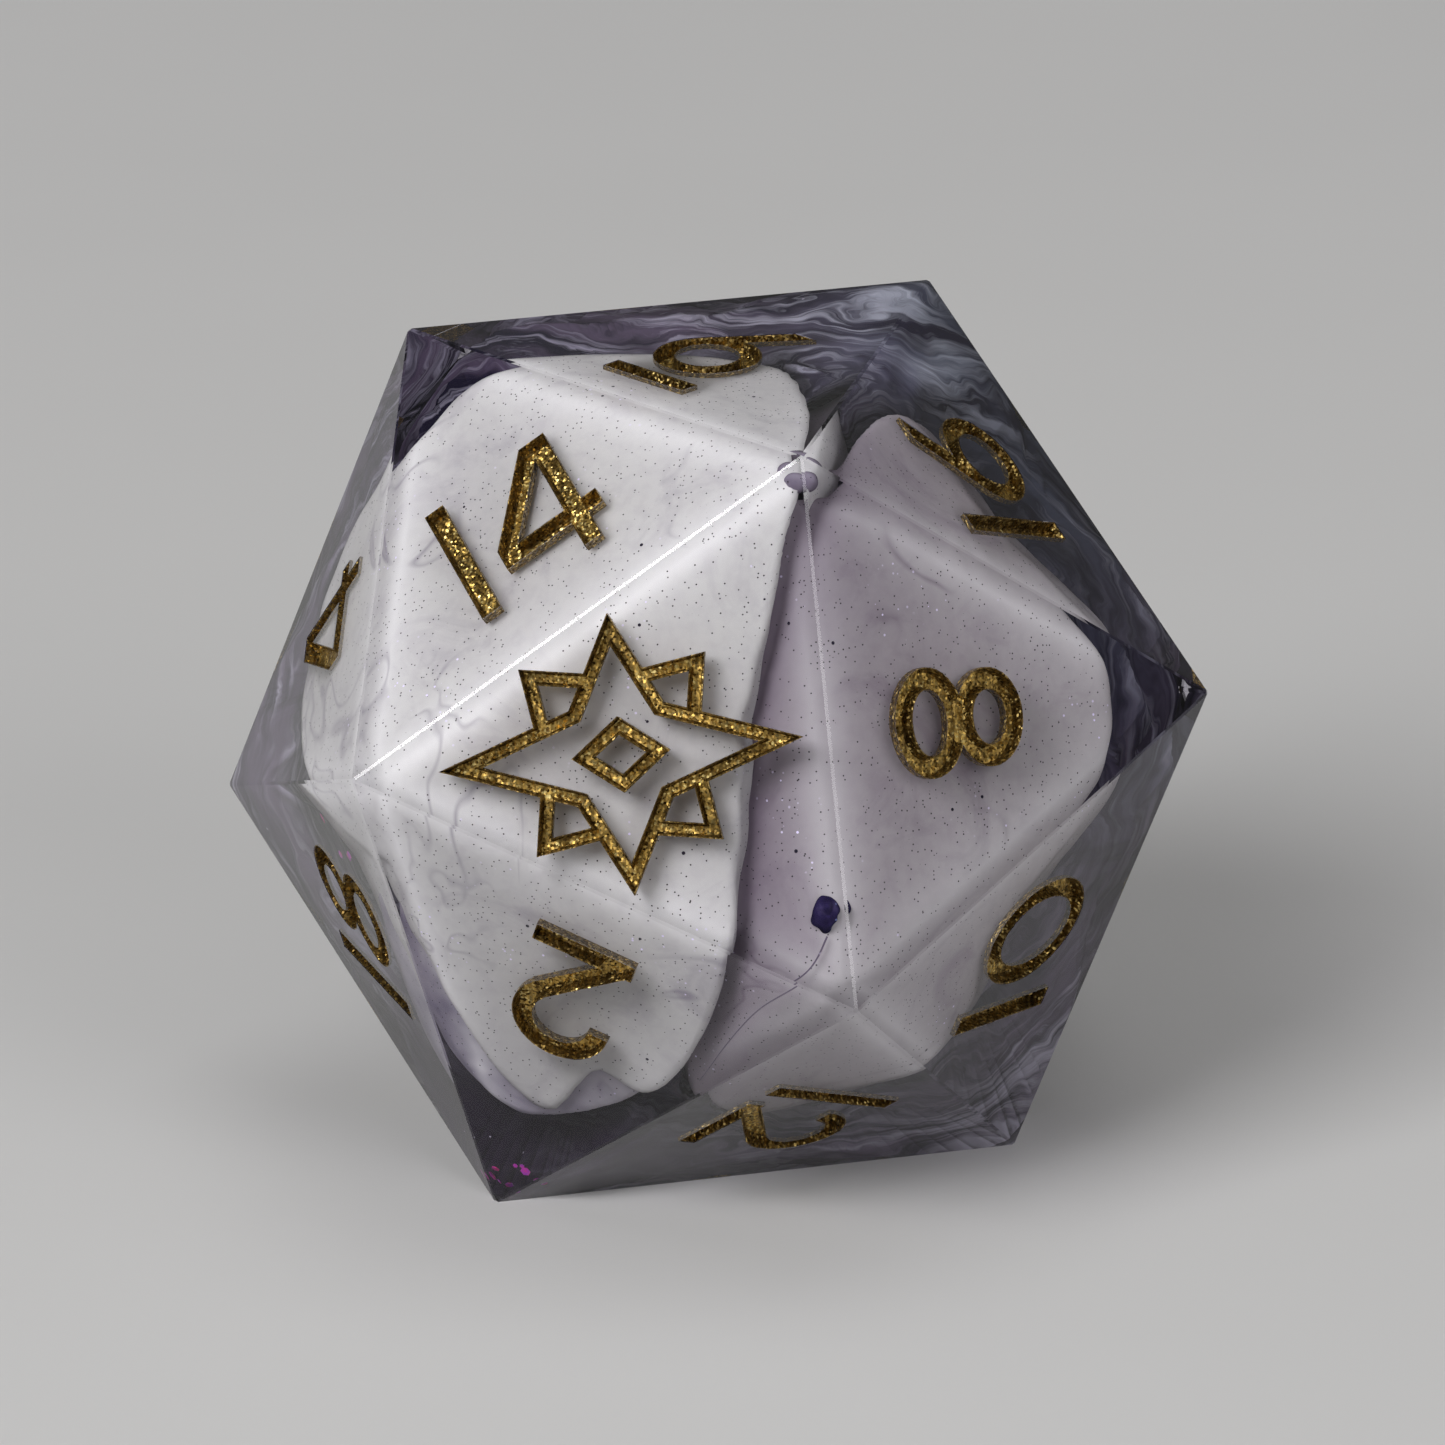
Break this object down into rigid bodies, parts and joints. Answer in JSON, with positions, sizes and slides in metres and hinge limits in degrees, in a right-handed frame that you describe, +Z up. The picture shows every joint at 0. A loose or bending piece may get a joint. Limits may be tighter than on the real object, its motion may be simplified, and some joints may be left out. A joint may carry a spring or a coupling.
{
  "type": "polyhedral die",
  "caption": "Sharp-edged icosahedral die of clear violet resin with white blooms, dark smoke and gold-filled engraved numerals.",
  "frame": {"origin": "centre of the face that the die rests on (the 15), which is also the middle of the bounding box's bottom", "axes": "+Z up, out of the face with the 6; -Y towards the viewer of the reference view; +X to that viewer's right"},
  "size_m": [0.0264, 0.0262, 0.022],
  "materials": {
    "clear_resin": "polished clear resin with a violet tint",
    "white_pigment": "milky white pigment in resin",
    "grey_pigment": "thinned grey-violet pigment in resin",
    "dark_ink": "dark violet alcohol ink in resin",
    "gold_paint": "metallic gold paint"
  },
  "bodies": {
    "root": {"resin_body": "clear_resin", "bloom_left": "white_pigment", "bloom_right": "white_pigment", "bloom_knob": "grey_pigment", "smoke_core": "dark_ink", "ink_drop": "dark_ink", "ink_bead": "dark_ink", "corner_bead": "grey_pigment", "gold_emblem": "gold_paint", "gold_01": "gold_paint", "gold_02": "gold_paint", "gold_03": "gold_paint", "gold_04": "gold_paint", "gold_05": "gold_paint", "gold_06": "gold_paint", "gold_07": "gold_paint", "gold_08": "gold_paint", "gold_09": "gold_paint", "gold_10": "gold_paint", "gold_11": "gold_paint", "gold_12": "gold_paint", "gold_13": "gold_paint", "gold_14": "gold_paint", "gold_15": "gold_paint", "gold_16": "gold_paint", "gold_17": "gold_paint", "gold_18": "gold_paint", "gold_19": "gold_paint"}
  },
  "joints": []
}
